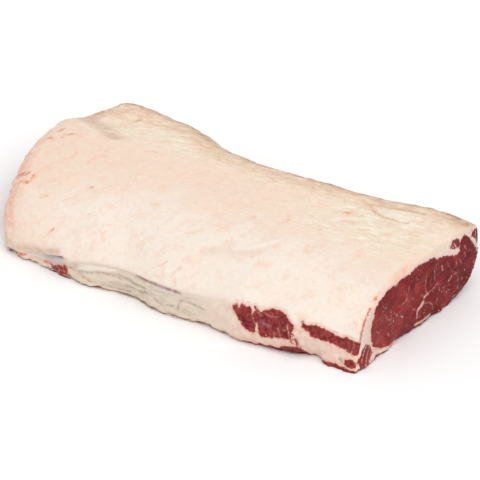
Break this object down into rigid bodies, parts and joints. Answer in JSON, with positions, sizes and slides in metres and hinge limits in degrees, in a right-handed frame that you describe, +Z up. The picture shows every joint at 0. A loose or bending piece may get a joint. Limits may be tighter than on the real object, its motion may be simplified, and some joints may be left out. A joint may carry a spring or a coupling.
{
  "type": "beef strip loin",
  "caption": "Whole boneless beef strip loin, raw: a long eye muscle under a cap of fat, with lean showing in both end cuts and along the flank side.",
  "frame": {"origin": "middle of the flat underside, at the centre of the loin's length and width", "axes": "+X along the loin to the rib-end cut, +Y across to the chine side, +Z up through the fat"},
  "size_m": [0.4766, 0.2548, 0.0731],
  "materials": {
    "fat": "cream beef fat, moist satin, faint pink and grey patches",
    "lean": "raw red lean with fine white marbling, moist"
  },
  "bodies": {
    "root": {"fat_cover": "fat", "eye_muscle": "lean", "tail_muscle": "lean", "seam_muscle": "lean", "chine_muscle": "lean", "flank_muscle_large": "lean", "flank_muscle_strip": "lean", "flank_muscle_wedge": "lean"}
  },
  "joints": []
}
